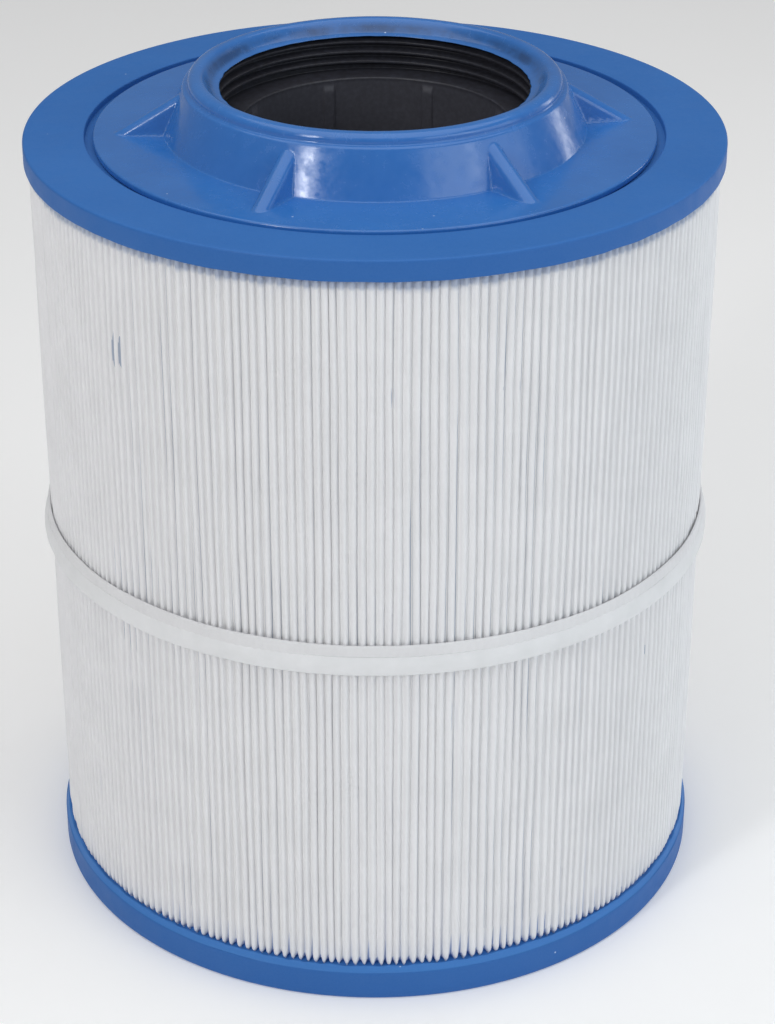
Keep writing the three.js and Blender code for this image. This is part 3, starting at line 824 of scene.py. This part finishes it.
def spunbond(name, tone, folded=False):
    """White spunbond polyester: matted fine fibres, slightly uneven in density. In the folds it
    is painted lighter, as painted light in place of light through the thin sheet; near the lower
    cap blue resin tints it, with a painted blue reflection of the cap; and under the upper cap a
    painted shadow darkens it."""
    s = Shader(name)
    cloud = s.remap(s.noise(70.0, 4.0), 0.3, 0.7, 0.0, 1.0)
    fibres = s.noise(2600.0, 6.0, 0.7, 2.0)
    dark = tuple(c * 0.93 for c in tone)
    pale = tuple(min(c * 1.06, 0.95) for c in tone)
    painted_fold_light, resin_and_bounce_blue, painted_shadow_tone = (0.96, 0.96, 0.965), (0.070, 0.200, 0.560), (0.400, 0.460, 0.580)
    colour = s.blend(cloud, dark, tone)
    colour = s.blend(s.remap(fibres, 0.35, 0.7, 0.0, 0.5), colour, pale)
    if folded:
        # Painted light: deep in the folds the sheet is painted paler, in place of light through the
        # thin sheet.
        colour = s.blend(s.mark("fold_depth"), colour, painted_fold_light)
        # Partly real blue resin soaked up from the lower cap, partly a painted blue reflection of the
        # cap.
        colour = s.blend(s.mark("resin_stain_and_bounce"), colour, resin_and_bounce_blue)
        # Painted shadow: a bluish grey band under the upper cap.
        colour = s.blend(s.mark("cap_shadow_paint"), colour, painted_shadow_tone)
    rough = s.remap(fibres, 0.3, 0.7, 0.78, 0.95)
    normal = s.bump(s.noise(240.0, 4.0, 0.6, 0.6), 0.0003, 0.35)
    normal = s.bump(fibres, 0.00008, 0.6, normal)
    return s.set(Base_Color=colour, Roughness=rough, Normal=normal, Sheen_Weight=0.08,
                 Sheen_Roughness=0.6, Specular_IOR_Level=0.2)


def hot_melt():
    """Set adhesive soaked into the tape: smooth, milky white."""
    s = Shader("hot_melt_white")
    dull, milky = (0.78, 0.79, 0.80), (0.84, 0.845, 0.86)
    cloud = s.remap(s.noise(120.0, 4.0), 0.3, 0.7, 0.0, 1.0)
    fibres = s.noise(1500.0, 4.0, 0.6, 1.0)
    colour = s.blend(cloud, dull, milky)
    rough = s.remap(cloud, 0.0, 1.0, 0.5, 0.68)
    normal = s.bump(s.noise(150.0, 3.0), 0.0006, 0.4)
    normal = s.bump(fibres, 0.00005, 0.4, normal)
    return s.set(Base_Color=colour, Roughness=rough, Normal=normal, Specular_IOR_Level=0.3)


CAP_BLUE = cap_blue()
COLLAR_BLUE = collar_blue()
SLEEVE_BLACK = black_plastic("sleeve_black", 0.34, (0.026, 0.026, 0.033), (0.050, 0.054, 0.074))
# The core's base is painted lighter than the sleeve's, as painted fill light in the shaded bore.
CORE_BLACK = black_plastic("core_black", 0.40, (0.060, 0.060, 0.072), (0.090, 0.094, 0.115))
MEDIA = spunbond("media_white", (0.87, 0.87, 0.885), folded=True)
BAND_WHITE = spunbond("band_white", (0.80, 0.80, 0.815))
GLUE_WHITE = hot_melt()

# ---------------------------------------------------------------- the object

make_pleats()
make_bottom_cap()
make_top_cap()
make_collar()
make_sleeve()
make_band()

core_nodes = ("core_upper", "core_middle", "core_lower", "core_end_plug")
shown_as_packed = dict.fromkeys(core_nodes, CORE_BLACK)
shown_as_packed["media_seam"] = GLUE_WHITE
for node, material in shown_as_packed.items():
    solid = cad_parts[node]
    solid.data.materials.clear()
    solid.data.materials.append(material)

# ---------------------------------------------------------------- floor, light and camera


def make_floor():
    """A pale matt floor that runs on far past the view, a hair below the lower cap."""
    side = 30.0
    cells = 30
    floor_z = -0.05 * MM
    line = np.linspace(-side / 2, side / 2, cells + 1)
    x, y = np.meshgrid(line, line)
    vertices = np.stack([x.ravel(), y.ravel(), np.full(x.size, floor_z)], -1)
    index = np.arange(x.size).reshape(x.shape)
    corners = [index[:-1, :-1], index[:-1, 1:], index[1:, 1:], index[1:, :-1]]
    floor = new_mesh("floor", vertices, np.stack(corners, -1).reshape(-1, 4))
    s = Shader("floor_white")
    cloud = s.remap(s.noise(3.0), 0.3, 0.7, 0.0, 1.0)
    colour = s.blend(cloud, (0.93, 0.93, 0.93), (0.95, 0.95, 0.95))
    white = s.set(Base_Color=colour, Roughness=0.9, Specular_IOR_Level=0.1,
                  Emission_Color=(1.0, 1.0, 1.0), Emission_Strength=0.12)
    floor.data.materials.append(white)


def soft_box(name, place, aim, width, height, power, tint=(1.0, 1.0, 1.0)):
    """A rectangular lamp of a given power in watts, turned to face a point."""
    light = bpy.data.lights.new(name, "AREA")
    light.shape = "RECTANGLE"
    light.size = width
    light.size_y = height
    light.energy = power
    light.color = tint
    box = bpy.data.objects.new(name, light)
    bpy.context.scene.collection.objects.link(box)
    box.location = place
    direction = Vector(aim) - Vector(place)
    box.rotation_euler = direction.to_track_quat("-Z", "Y").to_euler()


def make_light():
    """An even white sky, a large lamp overhead, and smaller ones that give the collar's glints."""
    world = bpy.data.worlds.new("studio")
    world.use_nodes = True
    background = world.node_tree.nodes["Background"]
    background.inputs["Color"].default_value = (1.0, 1.0, 1.0, 1.0)
    background.inputs["Strength"].default_value = 0.22
    bpy.context.scene.world = world
    cool = (0.84, 0.93, 1.0)
    middle = (0, 0, 0.15)
    upper_side = (0, 0, 0.20)
    disc = (0, 0, 0.24)
    neck = (0, 0, 0.26)
    soft_box("overhead", (0.0, -0.1, 1.6), middle, 2.2, 2.0, 15)
    soft_box("key", (-1.03, -1.27, 1.0), disc, 0.19, 0.48, 5)
    soft_box("ridge", (-0.93, -1.03, 1.31), disc, 0.22, 0.22, 2)
    soft_box("right", (1.3, -0.4, 0.5), upper_side, 0.9, 0.8, 2.6, cool)
    soft_box("front_right", (1.1, -1.1, 0.78), upper_side, 0.9, 0.7, 3.8, cool)
    soft_box("strip", (1.25, 0.85, 0.40), neck, 0.25, 0.7, 1.6)


def make_camera():
    """The reference view: 28 degrees down from 0.93 m, with a 92 mm lens."""
    pitch = math.radians(28.02)
    yaw = math.radians(0.26)
    roll = math.radians(-0.07)
    data = bpy.data.cameras.new("camera")
    data.sensor_width = 36.0
    data.lens = 92.37
    data.clip_start = 0.01
    camera = bpy.data.objects.new("camera", data)
    camera.location = (0.0, -0.7703, 0.5271)
    camera.rotation_mode = "XYZ"
    camera.rotation_euler = (math.pi / 2 - pitch, roll, -yaw)
    bpy.context.scene.collection.objects.link(camera)
    bpy.context.scene.camera = camera


make_floor()
make_light()
make_camera()
bpy.context.scene.view_settings.view_transform = "Standard"
